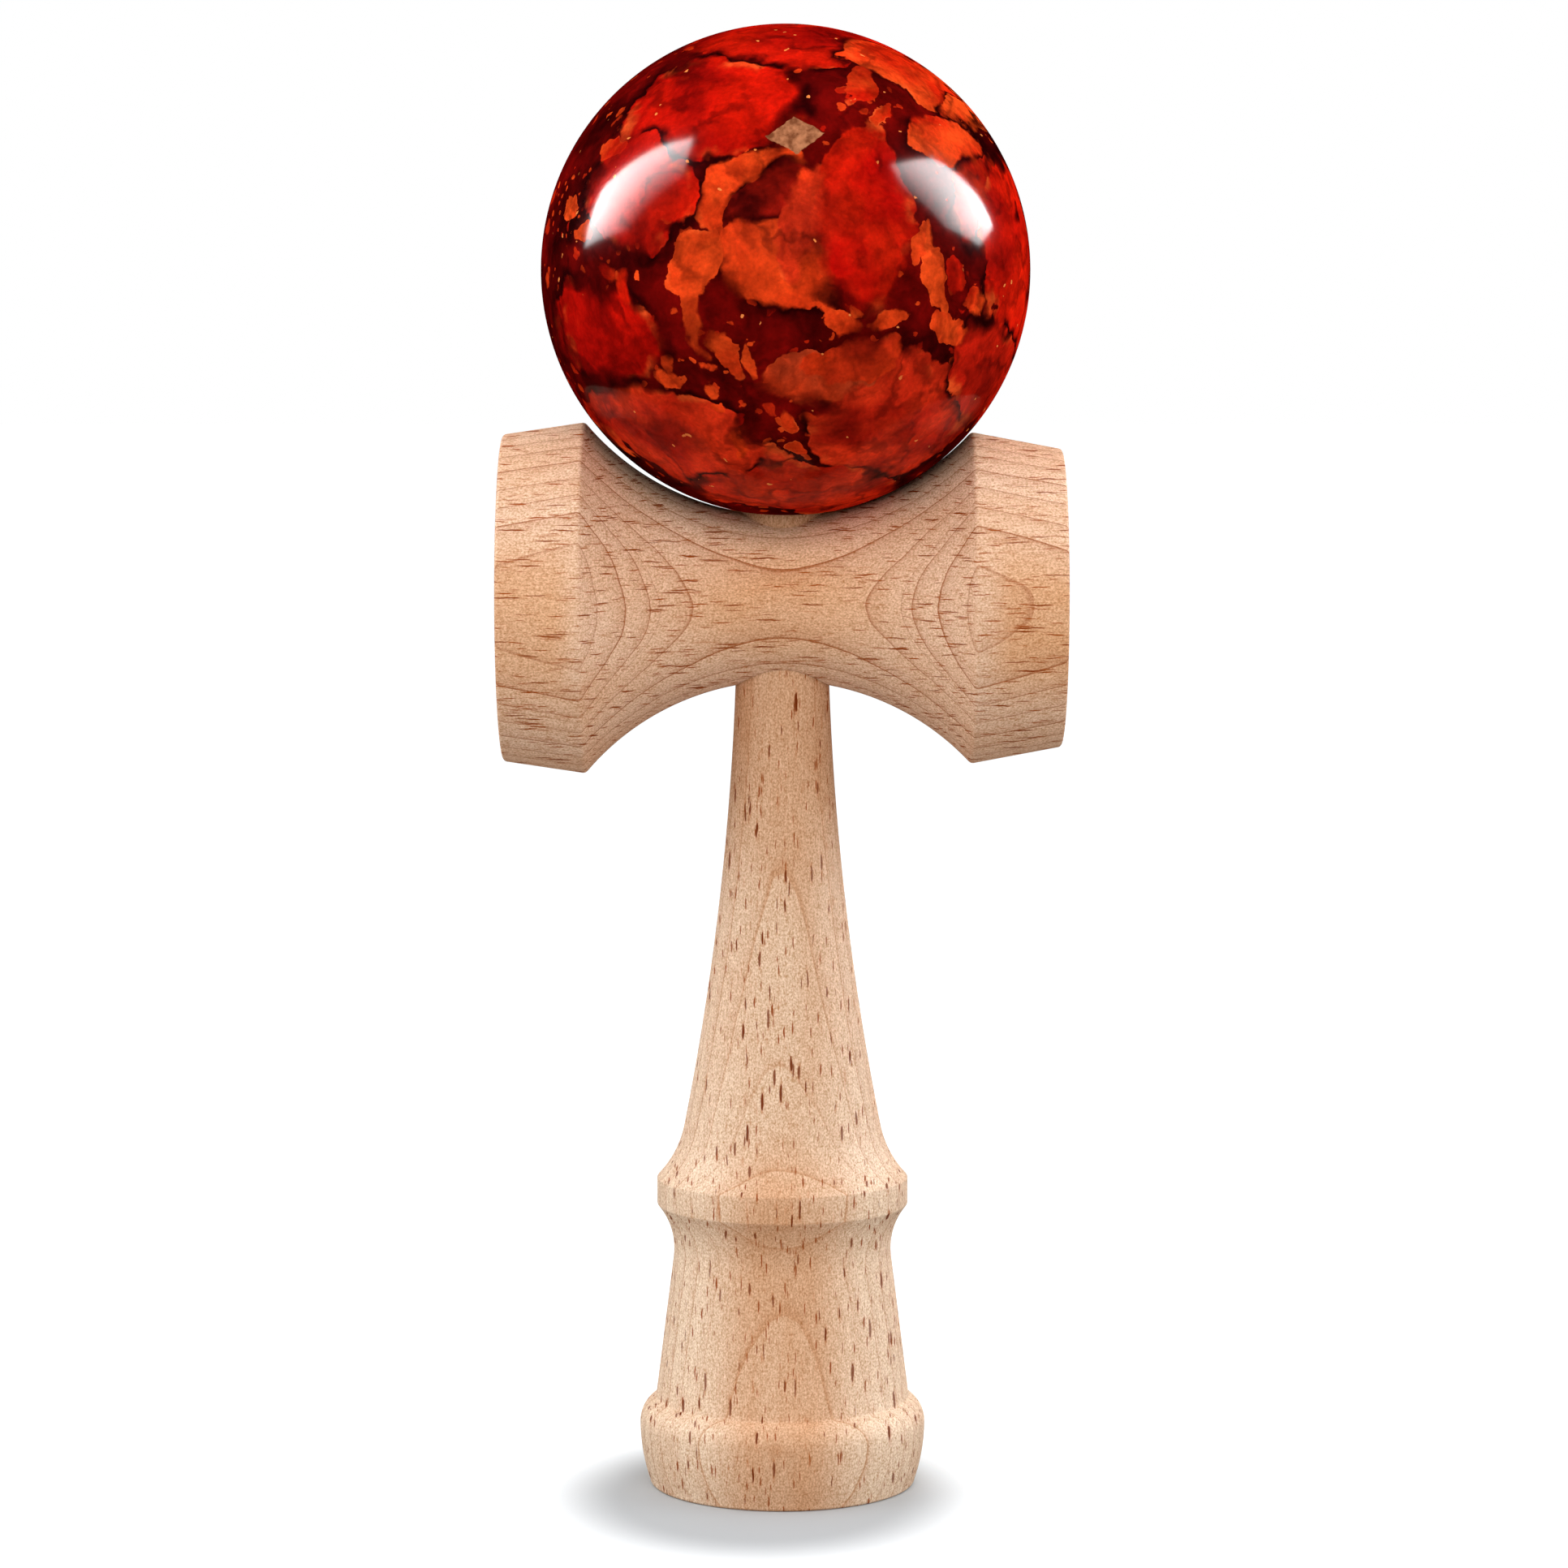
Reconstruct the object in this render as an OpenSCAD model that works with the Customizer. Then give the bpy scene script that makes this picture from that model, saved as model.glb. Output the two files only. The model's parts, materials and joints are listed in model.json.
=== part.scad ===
// Cup and ball toy: a turned handle with a spike and a base cup, a crosspiece with a big
// and a small cup that slides over the spike, and a bored ball that sits on the spike.
// Millimetres, +Z up, the big cup points to -X. The origin is on the table, below the ball's
// front-to-back middle, and the handle's axis stands ball_forward behind it.

/* [Base] */
// Radius of the base at its bottom edge
base_edge_r = 16.5; // [16:0.1:17.4]
// Largest radius of the base ring
base_r = 17.9; // [17.4:0.1:19.5]
// Height at which the base ring is widest
base_peak_z = 7.8; // [6:0.1:9]
// Height of the base ring
base_h = 11; // [10:0.1:13]
// Rounding of the bottom edge
base_round = 0.5; // [0.2:0.1:1]
// Width of the flat lip round the base cup
base_lip = 1.8; // [1.2:0.1:3]
// Depth of the base cup
base_cup_depth = 6.5; // [5:0.1:9]

/* [Handle] */
// Radius of the neck where it leaves the base ring
neck_r = 15.9; // [15:0.1:16.8]
// Radius of the middle ring
ring_r = 15.7; // [15:0.1:17]
// Height of the middle ring's lower edge
ring_z = 35.6; // [32:0.1:40]
// Width of the middle ring's band
ring_h = 3.3; // [2:0.1:5]
// Rounding of the middle ring's edges
ring_round = 0.4; // [0.2:0.1:0.9]
// Radius of the hollow curve below the middle ring
under_curve_r = 9; // [7:0.5:12]
// Angle from the axis at which that curve meets the ring
under_curve_angle = 40; // [32:1:50]
// Radius of the hollow curve above the middle ring
over_curve_r = 13; // [11:0.5:15]
// Angle from the axis at which that curve meets the ring
over_curve_angle = 44; // [38:1:50]

/* [Shaft and spike] */
// Radius of the shaft at the level of the crosspiece's axis
shaft_r = 5.45; // [4.8:0.05:6]
// Radius that the shaft loses for each millimetre of height
shaft_taper = 0.035; // [0.02:0.005:0.05]
// Length of the spike above the saddle
spike_l = 36.2; // [32:0.1:40]
// Radius of the spike's round tip
tip_r = 2; // [1.5:0.1:2.5]

/* [Crosspiece] */
// Height of the crosspiece's axis
cross_z = 111.5; // [104:0.5:120]
// Length of the crosspiece from rim to rim
cross_l = 69.2; // [64:0.1:76]
// Radius of the waist
waist_r = 10.3; // [9:0.1:12]
// How much wider than the ball the saddle's curve is
saddle_ease = 1.8; // [1.4:0.1:2.4]
// Radius at which the saddle meets the big cup's band
big_ridge_r = 21.75; // [21.5:0.05:23]
// Outer radius of the big cup's rim
big_rim_r = 20.25; // [19:0.05:21]
// Rounding of the big cup's ridge
big_ridge_round = 0.7; // [0.5:0.1:3]
// Depth of the big cup
big_cup_depth = 9; // [7.5:0.1:12]
// Radius at which the saddle meets the small cup's band
small_ridge_r = 20.55; // [20.2:0.05:22]
// Outer radius of the small cup's rim
small_rim_r = 18.45; // [17:0.05:19.5]
// Rounding of the small cup's ridge
small_ridge_round = 0.7; // [0.5:0.1:3]
// Depth of the small cup
small_cup_depth = 8; // [6.5:0.1:11]
// Rounding of the outer edge of both rims
rim_round = 0.5; // [0.2:0.1:1]
// Width of the flat lip round both cups
cup_lip = 1.8; // [1.2:0.1:3]
// Clearance between the shaft and the hole through the waist
shaft_gap = 0.1; // [0.05:0.01:0.3]

/* [Ball] */
// Radius of the ball
ball_r = 30; // [27:0.5:33]
// Gap between the ball and the saddle
seat_gap = 0.15; // [0.1:0.05:0.6]
// How far the ball hangs in front of the handle's axis
ball_forward = 3; // [2:0.1:3.2]
// How far the ball sits towards the small cup
ball_side = 0.4; // [0:0.1:0.5]
// Radius of the ball's hole for the spike
bore_r = 7; // [6.8:0.1:8]
// Bevel of the hole's edge
mouth_bevel = 0.6; // [0.3:0.1:1]
// Gap between the spike and the near side of the leaning ball's hole
lean_gap = 0.7; // [0.4:0.1:1.5]
// Room above the spike's tip in the ball's hole
tip_gap = 6; // [5:0.5:8]

/* [String] */
// Radius of the string's holes
string_hole_r = 1.5; // [1:0.1:2]
// Radius of the recess for the string's knot in the shaft
knot_r = 2.6; // [2.2:0.1:3]
// Depth of the recess for the knot
knot_depth = 1.6; // [1:0.1:2]
// Radius of the bead inside the ball
bead_r = 4; // [3.4:0.1:5]
// Radius of the bead's flat ends
bead_end_r = 2.8; // [2.2:0.1:3.2]
// Length of the bead
bead_h = 6; // [5:0.1:7]
// Radius of the hole through the bead
bead_hole_r = 1.2; // [0.8:0.1:1.5]
// Gap round the bead in its pocket
bead_gap = 0.3; // [0.2:0.05:0.5]

/* [Hidden] */
$fn = 96;

beech = [0.87, 0.71, 0.55];
bead_wood = [0.80, 0.66, 0.48];
marbled_red = [0.55, 0.07, 0.05];

// How far a turned curve may depart from its true arc
curve_tolerance = 0.008;
// Length by which a cutting shape reaches past the face that it opens
overshoot = 2;

ring_top = ring_z + ring_h;
saddle_r = ball_r + saddle_ease;
saddle_top = cross_z + waist_r;
saddle_foot = cross_z - waist_r;
ball_reach = waist_r + seat_gap + ball_r;
ball_z = cross_z + sqrt(ball_reach * ball_reach - ball_forward * ball_forward);
tip_z = saddle_top + spike_l;

// The ball leans until the near side of its hole is lean_gap from the spike
mouth_r = bore_r + mouth_bevel;
mouth_drop = sqrt(ball_r * ball_r - mouth_r * mouth_r);
near_reach = shaft_radius(saddle_top) + lean_gap;
mouth_span = sqrt(bore_r * bore_r + mouth_drop * mouth_drop);
ball_lean = asin(bore_r / mouth_span) - asin((near_reach - ball_forward) / mouth_span);
bore_end = (tip_z + tip_gap - ball_z) / cos(ball_lean);
pocket_end = bore_end + bead_h + bead_gap;

// Radius of the shaft's taper at a height
function shaft_radius(z) = shaft_r + shaft_taper * (cross_z - z);

// Point on a circle at an angle
function on_circle(centre, radius, angle) = centre + radius * [cos(angle), sin(angle)];

// Angle of the line from one point to another
function heading(from, to) = atan2(to[1] - from[1], to[0] - from[0]);

// Points along a circular arc after its start, up to its end
function arc(centre, radius, start, end) =
    let (
        widest_step = 2 * acos(1 - min(curve_tolerance / radius, 1)),
        steps = max(2, ceil(abs(end - start) / widest_step))
    )
    [for (i = [1 : steps]) on_circle(centre, radius, start + (end - start) * i / steps)];

// Angle at a point between the line to a circle's centre and the line that touches the circle
function touch_angle(point, centre, radius) = asin(radius / norm(centre - point));

// Radius of the sphere that cuts a dish of a given rim radius and depth
function dish_radius(rim, depth) = (rim * rim + depth * depth) / (2 * depth);

// Base ring: a barrelled side and a rounder shoulder that meet where the ring is widest
function base_outline() =
    let (
        side_r = dish_radius(base_peak_z, base_r - base_edge_r),
        side_centre = [base_r - side_r, base_peak_z],
        side_angle = asin((base_peak_z - base_round) / side_r),
        round_centre = on_circle(side_centre, side_r, -side_angle) - [base_round, 0],
        shoulder_in = base_r - neck_r,
        shoulder_r = dish_radius(base_h - base_peak_z, shoulder_in),
        shoulder_centre = [base_r - shoulder_r, base_peak_z]
    )
    concat(
        [round_centre - [0, base_round]],
        arc(round_centre, base_round, -90, 0),
        arc(side_centre, side_r, -side_angle, 0),
        arc(shoulder_centre, shoulder_r, 0, acos(1 - shoulder_in / shoulder_r))
    );

// Centres of the hollow curves below and above the middle ring
under_centre = on_circle([ring_r, ring_z], under_curve_r, -under_curve_angle);
over_centre = on_circle([ring_r, ring_top], over_curve_r, over_curve_angle);

// Centre of the rounding between the ring's band and a hollow curve, which lies on the given side of it
function ring_round_centre(curve_centre, curve_r, side) =
    let (
        inward = curve_centre[0] - ring_r + ring_round,
        reach = curve_r + ring_round
    )
    [ring_r - ring_round, curve_centre[1] + side * sqrt(reach * reach - inward * inward)];

// Neck and middle ring: a straight taper, the hollow curve below the ring, and the band with its roundings
function neck_outline() =
    let (
        foot = [neck_r, base_h],
        taper_angle = heading(foot, under_centre) + touch_angle(foot, under_centre, under_curve_r),
        low_round = ring_round_centre(under_centre, under_curve_r, 1),
        high_round = ring_round_centre(over_centre, over_curve_r, -1)
    )
    concat(
        [on_circle(under_centre, under_curve_r, taper_angle + 90)],
        arc(under_centre, under_curve_r, taper_angle + 90, heading(under_centre, low_round)),
        arc(low_round, ring_round, heading(low_round, under_centre), 0),
        [high_round + [ring_round, 0]],
        arc(high_round, ring_round, 0, heading(high_round, over_centre))
    );

// Upper body: the hollow curve above the ring, then one long curve that flows into the shaft's taper
function body_outline() =
    let (
        high_round = ring_round_centre(over_centre, over_curve_r, -1),
        shaft_foot = [shaft_radius(saddle_foot), saddle_foot],
        taper_angle = atan(shaft_taper),
        outward = [cos(taper_angle), sin(taper_angle)],
        apart = shaft_foot - over_centre,
        long_r = (over_curve_r * over_curve_r - apart * apart) / (2 * (apart * outward + over_curve_r)),
        long_centre = shaft_foot + long_r * outward,
        meet_angle = (heading(long_centre, over_centre) + 360) % 360
    )
    concat(
        arc(over_centre, over_curve_r, heading(over_centre, high_round) + 360, meet_angle),
        arc(long_centre, long_r, meet_angle, 180 + taper_angle)
    );

// Spike: a straight taper from the saddle that runs into the round tip
function spike_outline() =
    let (
        foot = [shaft_radius(saddle_top), saddle_top],
        centre = [0, tip_z - tip_r],
        tip_start = heading(foot, centre) - touch_angle(foot, centre, tip_r) - 90
    )
    concat(
        [foot, on_circle(centre, tip_r, tip_start)],
        arc(centre, tip_r, tip_start, 90)
    );

// Moves what is drawn about the handle's axis to the handle's place
module on_handle() {
    translate([0, ball_forward, 0])
        children();
}

// Handle from the base to the tip of the spike
module handle() {
    cup_r = base_edge_r - base_lip;
    dish_r = dish_radius(cup_r, base_cup_depth);
    color(beech)
    on_handle()
    difference() {
        rotate_extrude()
        polygon(concat(
            [[0, 0]],
            base_outline(),
            neck_outline(),
            body_outline(),
            spike_outline()
        ));
        translate([0, 0, base_cup_depth - dish_r])
            sphere(dish_r);
        string_hole(-shaft_r - overshoot, shaft_r + overshoot);
        translate([0, -shaft_r - overshoot, cross_z])
        rotate([-90, 0, 0])
            cylinder(h = knot_depth + overshoot, r = knot_r);
    }
}

// String's hole along Y, on the crosspiece's axis, between two places on Y
module string_hole(from, to) {
    translate([0, from, cross_z])
    rotate([-90, 0, 0])
        cylinder(h = to - from, r = string_hole_r);
}

// Outline of one cup's outside, from the saddle's end to the rim, as [along the axis, radius]
function cup_outline(ridge_r, rim_r, ridge_round) =
    let (
        saddle_centre = [0, waist_r + saddle_r],
        ridge_rise = saddle_r - (ridge_r - waist_r),
        ridge = [sqrt(saddle_r * saddle_r - ridge_rise * ridge_rise), ridge_r],
        rim = [cross_l / 2, rim_r],
        along = (rim - ridge) / norm(rim - ridge),
        outward = [-along[1], along[0]],
        from_centre = ridge - ridge_round * outward - saddle_centre,
        reach = saddle_r + ridge_round,
        lean = from_centre * along,
        slide = -lean + sqrt(lean * lean - from_centre * from_centre + reach * reach),
        round_centre = saddle_centre + from_centre + slide * along,
        band_angle = heading([0, 0], outward),
        edge_slide = (rim[0] - rim_round - ridge[0] + rim_round * outward[0]) / along[0],
        edge_centre = ridge + edge_slide * along - rim_round * outward
    )
    concat(
        [[0, waist_r]],
        arc(saddle_centre, saddle_r, -90, heading(saddle_centre, round_centre)),
        arc(round_centre, ridge_round, heading(round_centre, saddle_centre), band_angle),
        [on_circle(edge_centre, rim_round, band_angle)],
        arc(edge_centre, rim_round, band_angle, 0),
        [[rim[0], 0]]
    );

// Same outline for the other end, in the order that closes the profile, without the waist's point
function mirrored(points) = [for (i = [len(points) - 1 : -1 : 1]) [-points[i][0], points[i][1]]];

// Dish of a cup, cut into the end of the crosspiece that faces +X
module cup_dish(rim_r, depth) {
    dish_r = dish_radius(rim_r - cup_lip, depth);
    translate([cross_l / 2 - depth + dish_r, 0, 0])
        sphere(dish_r);
}

// Crosspiece with both cups and the tapered hole for the shaft
module cup_crosspiece() {
    hole_reach = waist_r + overshoot;
    color(beech)
    on_handle()
    difference() {
        translate([0, 0, cross_z])
        difference() {
            rotate([0, 90, 0])
            rotate_extrude()
            polygon([for (p = concat(
                mirrored(cup_outline(big_ridge_r, big_rim_r, big_ridge_round)),
                cup_outline(small_ridge_r, small_rim_r, small_ridge_round)
            )) [p[1], p[0]]]);
            cup_dish(small_rim_r, small_cup_depth);
            mirror([1, 0, 0])
                cup_dish(big_rim_r, big_cup_depth);
        }
        translate([0, 0, cross_z - hole_reach])
            cylinder(
                h = 2 * hole_reach,
                r1 = shaft_radius(cross_z - hole_reach) + shaft_gap,
                r2 = shaft_radius(cross_z + hole_reach) + shaft_gap
            );
        string_hole(0, waist_r + overshoot);
    }
}

// Moves what is drawn about the ball's centre to the leaning ball's place
module on_ball() {
    translate([ball_side, 0, ball_z])
    rotate([ball_lean, 0, 0])
        children();
}

// Ball with the spike's hole from below, the bead's pocket and the string's hole to the top
module ball() {
    color(marbled_red)
    on_ball()
    difference() {
        sphere(ball_r);
        translate([0, 0, -ball_r - overshoot])
            cylinder(h = ball_r + overshoot + bore_end, r = bore_r);
        translate([0, 0, -mouth_drop - overshoot])
            cylinder(
                h = overshoot + mouth_bevel,
                r1 = mouth_r + overshoot,
                r2 = bore_r
            );
        cylinder(h = pocket_end, r = bead_r + bead_gap);
        cylinder(h = ball_r + overshoot, r = string_hole_r);
    }
}

// Barrel-shaped bead under the end of the string's hole
module string_bead() {
    barrel_r = dish_radius(bead_h / 2, bead_r - bead_end_r);
    barrel_angle = asin(bead_h / 2 / barrel_r);
    color(bead_wood)
    on_ball()
    translate([0, 0, pocket_end - bead_gap - bead_h / 2])
    difference() {
        rotate_extrude()
        polygon(concat(
            [[0, -bead_h / 2], [bead_end_r, -bead_h / 2]],
            arc([bead_r - barrel_r, 0], barrel_r, -barrel_angle, barrel_angle),
            [[0, bead_h / 2]]
        ));
        translate([0, 0, -bead_h / 2 - overshoot])
            cylinder(h = bead_h + 2 * overshoot, r = bead_hole_r);
    }
}

handle();
cup_crosspiece();
ball();
string_bead();
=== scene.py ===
# %% [markdown]
# A wooden cup and ball toy has three turned pieces: a handle with a spike, a crosspiece with
# a cup at each end, and a bored ball, which hides a small bead. The CAD model gives their sizes
# and places. This lesson turns finer pieces over it, as on a lathe, and gives them beech grain
# and marbled lacquer.

# %% Load the CAD model
import bpy
import bmesh
import json
import math
from mathutils import Matrix, Vector


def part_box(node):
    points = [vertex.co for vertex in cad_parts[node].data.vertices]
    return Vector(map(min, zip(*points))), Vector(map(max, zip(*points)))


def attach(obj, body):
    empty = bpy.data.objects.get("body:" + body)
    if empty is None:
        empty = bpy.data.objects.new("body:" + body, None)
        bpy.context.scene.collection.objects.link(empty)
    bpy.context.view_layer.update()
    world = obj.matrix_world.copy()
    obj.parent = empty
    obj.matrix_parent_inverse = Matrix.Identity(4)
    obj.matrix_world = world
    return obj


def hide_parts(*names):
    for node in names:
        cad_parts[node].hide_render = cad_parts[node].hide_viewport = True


MM = 1000.0

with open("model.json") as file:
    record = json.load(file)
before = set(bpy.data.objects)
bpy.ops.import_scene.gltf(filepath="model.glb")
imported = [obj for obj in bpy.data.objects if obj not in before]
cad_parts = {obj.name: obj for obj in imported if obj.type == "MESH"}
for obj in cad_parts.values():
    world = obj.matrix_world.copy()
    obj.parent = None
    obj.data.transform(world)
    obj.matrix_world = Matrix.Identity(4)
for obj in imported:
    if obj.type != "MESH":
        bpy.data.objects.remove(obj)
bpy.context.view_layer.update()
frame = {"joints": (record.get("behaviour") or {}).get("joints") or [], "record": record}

# %% [markdown]
# The photograph was taken from a little above the middle of the toy, with a long lens, so its
# upright lines stay almost parallel. A camera 0.6 m away, tipped down by 5.5 degrees, shows the
# crosspiece's underside and the top of the base's shoulder by the same small amounts.

# %% Place the camera
CAMERA_DIP = 5.53

scene = bpy.context.scene
camera_data = bpy.data.cameras.new("camera")
camera_data.lens = 111.1
camera = bpy.data.objects.new("camera", camera_data)
camera.location = (0.0002, -0.597, 0.1464)
camera.rotation_euler = (math.radians(90 - CAMERA_DIP), 0, 0)
scene.collection.objects.link(camera)
scene.camera = camera
print("camera stands", round(-camera.location.y, 3), "m in front of the toy")

# %% [markdown]
# Shader maths is easier to read as Python than as a drawing of nodes. A Wire stands for one
# output of a node. Adding or multiplying wires adds Math nodes, and one method makes any other
# node: it sets the node's settings first and then its sockets.

# %% A small class for shader maths
class Wire:
    def __init__(self, tree, socket):
        self.tree = tree
        self.socket = socket

    @classmethod
    def node(cls, tree, kind, settings={}, sockets={}, out=0):
        made = tree.nodes.new(kind)
        for name, value in settings.items():
            if name == "stops":
                stops = made.color_ramp.elements
                stops.remove(stops[1])
                stops[0].position, stops[0].color = value[0]
                for place, colour in value[1:]:
                    stops.new(place).color = colour
            else:
                setattr(made, name, value)
        for name, value in sockets.items():
            if isinstance(value, Wire):
                tree.links.new(value.socket, made.inputs[name])
            else:
                made.inputs[name].default_value = value
        return cls(tree, made.outputs[out])

    def other(self, name):
        return Wire(self.tree, self.socket.node.outputs[name])

    def math(self, operation, *values):
        return Wire.node(self.tree, "ShaderNodeMath", {"operation": operation},
                         dict(enumerate(values)))

    def __add__(self, value):
        return self.math("ADD", self, value)

    __radd__ = __add__

    def __sub__(self, value):
        return self.math("SUBTRACT", self, value)

    def __rsub__(self, value):
        return self.math("SUBTRACT", value, self)

    def __mul__(self, value):
        return self.math("MULTIPLY", self, value)

    __rmul__ = __mul__

    def __truediv__(self, value):
        return self.math("DIVIDE", self, value)

    def __pow__(self, value):
        return self.math("POWER", self, value)

    def __abs__(self):
        return self.math("ABSOLUTE", self)

    def fraction(self):
        return self.math("FRACT", self)

    def whole(self):
        return self.math("FLOOR", self)

    def most(self, value):
        return self.math("MAXIMUM", self, value)

    def rise(self, start, end):
        return Wire.node(self.tree, "ShaderNodeMapRange", {"interpolation_type": "SMOOTHSTEP"},
                         {0: self, 1: start, 2: end, 3: 0.0, 4: 1.0})

# %% [markdown]
# Colours are written as they read on a screen, from 0 to 255, and turned into the linear light
# that Blender reckons in. Colours go through a Mix node and places through Vector Math, because
# a Math node would turn each of them into a single number.

# %% Colours and vectors
def paint(red, green, blue):
    linear = [c / 3294.6 if c <= 10 else ((c / 255 + 0.055) / 1.055) ** 2.4
              for c in (red, green, blue)]
    return (*linear, 1.0)


def blend(tree, amount, under, over):
    return Wire.node(tree, "ShaderNodeMix", {"data_type": "RGBA"},
                     {0: amount, 6: under, 7: over}, 2)


def vector(tree, operation, first, second, out=0):
    name = "Scale" if operation == "SCALE" else 1
    return Wire.node(tree, "ShaderNodeVectorMath", {"operation": operation},
                     {0: first, name: second}, out)


print("128 on a screen is", round(paint(128, 128, 128)[0], 3), "in linear light")

# %% [markdown]
# Wood and marbled paint are both irregular, so most of what follows starts from noise: soft
# clouds that fill space. A picture of wood could be wrapped round a piece instead, but it would
# stretch at the rings and show a seam. Noise that is stretched along the grain turns into fibres.

# %% Noise
def noise(tree, place, scale, detail=2.0, out=0):
    return Wire.node(tree, "ShaderNodeTexNoise", {},
                     {"Vector": place, "Scale": scale, "Detail": detail}, out)


def long_noise(tree, grain, steps_per_mm, detail):
    return noise(tree, vector(tree, "MULTIPLY", grain, steps_per_mm), 1.0, detail)

# %% [markdown]
# A finish reads Object coordinates, so that its pattern sits still in the piece when the piece
# moves, and it ends in one shader. What is the same all over is set on the shader's own socket.
# Only what changes over the surface gets a wire.

# %% Start and feed a finish
def empty_finish(name):
    finish = bpy.data.materials.new(name)
    finish.use_nodes = True
    tree = finish.node_tree
    tree.nodes.clear()
    return finish, tree, Wire.node(tree, "ShaderNodeTexCoord", out="Object")


def show(tree, wire, output="ShaderNodeOutputMaterial"):
    tree.links.new(wire.socket, tree.nodes.new(output).inputs["Surface"])


def new_finish(name):
    finish, tree, place = empty_finish(name)
    shader = Wire.node(tree, "ShaderNodeBsdfPrincipled")
    show(tree, shader)
    return finish, tree, shader.socket.node, place


def feed(tree, shader, **wires):
    for name, wire in wires.items():
        tree.links.new(wire.socket, shader.inputs[name.replace("_", " ")])

# %% [markdown]
# Bare beech is a pale pinkish tan. Its year rings are almost flat layers in a piece this small,
# so a turned form cuts them into arches and loops, as contour lines show a hill. A Wave texture
# could draw them, but all equally wide. A ramp with a stop at each ring's own depth counts the
# years instead, and the fraction of a year is how far that year's wood has grown.

# %% Year rings
def grey(value):
    return (value, value, value, 1.0)


def year_rings(tree, layer, rings):
    low, high, last = rings[0], rings[-1], len(rings) - 1
    stops = [((ring - low) / (high - low), grey(i / last)) for i, ring in enumerate(rings)]
    return Wire.node(tree, "ShaderNodeValToRGB", {"stops": stops},
                     {0: (layer - low) / (high - low)}) * last

# %% [markdown]
# Some marks come one by one, such as dashes in wood and chips in paint. A Voronoi texture splits
# space into cells and says how far each place is from its cell's centre. Each cell also has a
# random colour, whose red, green and blue are three lots to draw. White noise draws a lot for a
# whole number.

# %% Cells and lots
def cells(tree, place, scale):
    return Wire.node(tree, "ShaderNodeTexVoronoi", {},
                     {"Vector": place, "Scale": scale}, "Distance")


def lots_of(tree, cell):
    return Wire.node(tree, "ShaderNodeSeparateColor", {}, {0: cell.other("Color")})


def lot_for(tree, number):
    return Wire.node(tree, "ShaderNodeTexWhiteNoise", {"noise_dimensions": "1D"}, {"W": number})

# %% [markdown]
# The short dark dashes in beech are rays: thin lenses that run along the grain. Stretched cells
# give one lens each, and a lot drawn for each cell keeps some of them. Cells lie in layers, so a
# surface would show them in rows. Narrow columns of wood, each shifted by its own lot, break up
# the rows. A soft orange halo stands for the darker wood round each ray.

# %% Rays
RAY_COLUMN, RAY_SHIFT, RAY_BEND = 0.75, 37.0, 0.4
RAY_HALO = paint(190, 104, 40)


def place_at(tree, first, second, third):
    return Wire.node(tree, "ShaderNodeCombineXYZ", {}, {0: first, 1: second, 2: third})


def ray_marks(tree, grain, side, rays, colour):
    bend = (long_noise(tree, grain, (0.5, 1.2, 0.3), 2.0) - 0.5) * RAY_BEND
    shift = lot_for(tree, ((side + bend) / RAY_COLUMN).whole()) * RAY_SHIFT
    bent = vector(tree, "ADD", grain, place_at(tree, shift, bend, shift))
    pits = None
    for size, reach, rare, strength, dark in rays:
        spot = cells(tree, vector(tree, "DIVIDE", bent, size), 1.0)
        lots = lots_of(tree, spot)
        far = reach * (0.5 + 0.7 * lots.other("Red"))
        kept = lots.other("Blue").rise(rare, rare + 0.02) * (0.75 + 0.25 * lots.other("Green"))
        kept = kept * strength
        halo = (1.0 - spot.rise(far, far * 1.6)) * kept * 0.4
        mark = (1.0 - spot.rise(far * 0.85, far)) * kept
        colour = blend(tree, halo, colour, RAY_HALO)
        colour = blend(tree, mark, colour, paint(*dark))
        pits = mark if pits is None else pits.most(mark)
    return colour, pits

# %% [markdown]
# The finish reads places in mm, along the grain, across it and into the depth, so one function
# serves upright and lying wood, and its pattern stays right on the end grain inside the cups.
# Each ring darkens slowly and ends in a thin brown line. Fine noise adds fibres and the speckle
# of sanded wood, and the rays are slightly sunk.

# %% The beech finish
FLECK_TINT = (0.75, 1.1, 1.5)


def axes_of(tree, place):
    return Wire.node(tree, "ShaderNodeSeparateXYZ", {}, {0: place})


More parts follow.
